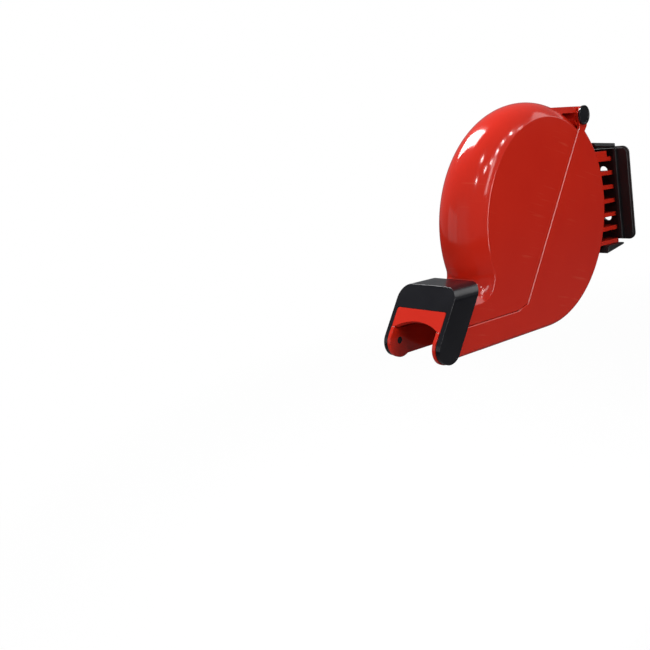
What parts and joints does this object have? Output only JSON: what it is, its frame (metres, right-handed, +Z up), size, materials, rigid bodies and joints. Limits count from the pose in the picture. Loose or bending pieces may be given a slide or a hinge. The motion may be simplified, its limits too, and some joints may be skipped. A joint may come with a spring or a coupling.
{
  "type": "take a number ticket dispenser",
  "caption": "Wall-mounted snail-shaped ticket dispenser: hinged domed cover, rear cup with jaw and ears, black nose bow, loose ticket roll, clip-on wall bracket",
  "frame": {"origin": "centre of the wall bracket's rear face, which lies on the wall", "axes": "+Y into the wall, +X to the right for someone facing the wall, +Z up"},
  "size_m": [0.0864, 0.3126, 0.218],
  "materials": {
    "casing_red": "glossy moulded red plastic",
    "trim_black": "glossy moulded black plastic",
    "bracket_black": "satin moulded black plastic",
    "ticket_paper": "matt uncoated ticket paper",
    "core_board": "wound grey-brown board"
  },
  "bodies": {
    "bracket": {"wall_plate": "bracket_black", "bracket_hood": "bracket_black", "bracket_cradle": "bracket_black", "bracket_rail_left": "bracket_black", "bracket_rail_right": "bracket_black"},
    "base": {"base_shell": "casing_red", "base_side_left": "casing_red", "base_side_right": "casing_red", "ear_left": "casing_red", "ear_right": "casing_red", "comb_rib_1": "casing_red", "comb_rib_2": "casing_red", "comb_rib_3": "casing_red", "comb_rib_4": "casing_red", "comb_rib_5": "casing_red", "comb_rib_6": "casing_red", "comb_rib_7": "casing_red", "clip_tongue": "casing_red", "hinge_pin_left": "trim_black", "hinge_pin_right": "trim_black", "latch_stud_left": "trim_black", "latch_stud_right": "trim_black"},
    "cover": {"cover_shell": "casing_red", "cover_side_left": "casing_red", "cover_side_right": "casing_red", "front_plate": "casing_red", "hinge_bridge": "casing_red", "guide_rib_left": "casing_red", "guide_rib_right": "casing_red", "nose_bow": "trim_black"},
    "roll": {"ticket_roll": "ticket_paper", "roll_core": "core_board"}
  },
  "joints": [
    {"name": "bracket_slide", "type": "slide", "parent": "bracket", "child": "base", "axis": [0, -0.986, 0.1668], "range_m": [0, 0.045]},
    {"name": "cover_hinge", "type": "hinge", "parent": "base", "child": "cover", "pos_m": [0, -0.05316, 0.09065], "axis": [-1, 0, 0], "range_deg": [0, 95]},
    {"name": "roll_spin", "type": "hinge", "parent": "base", "child": "roll", "pos_m": [0, -0.1287, -0.01203], "axis": [1, 0, 0], "continuous": true}
  ]
}
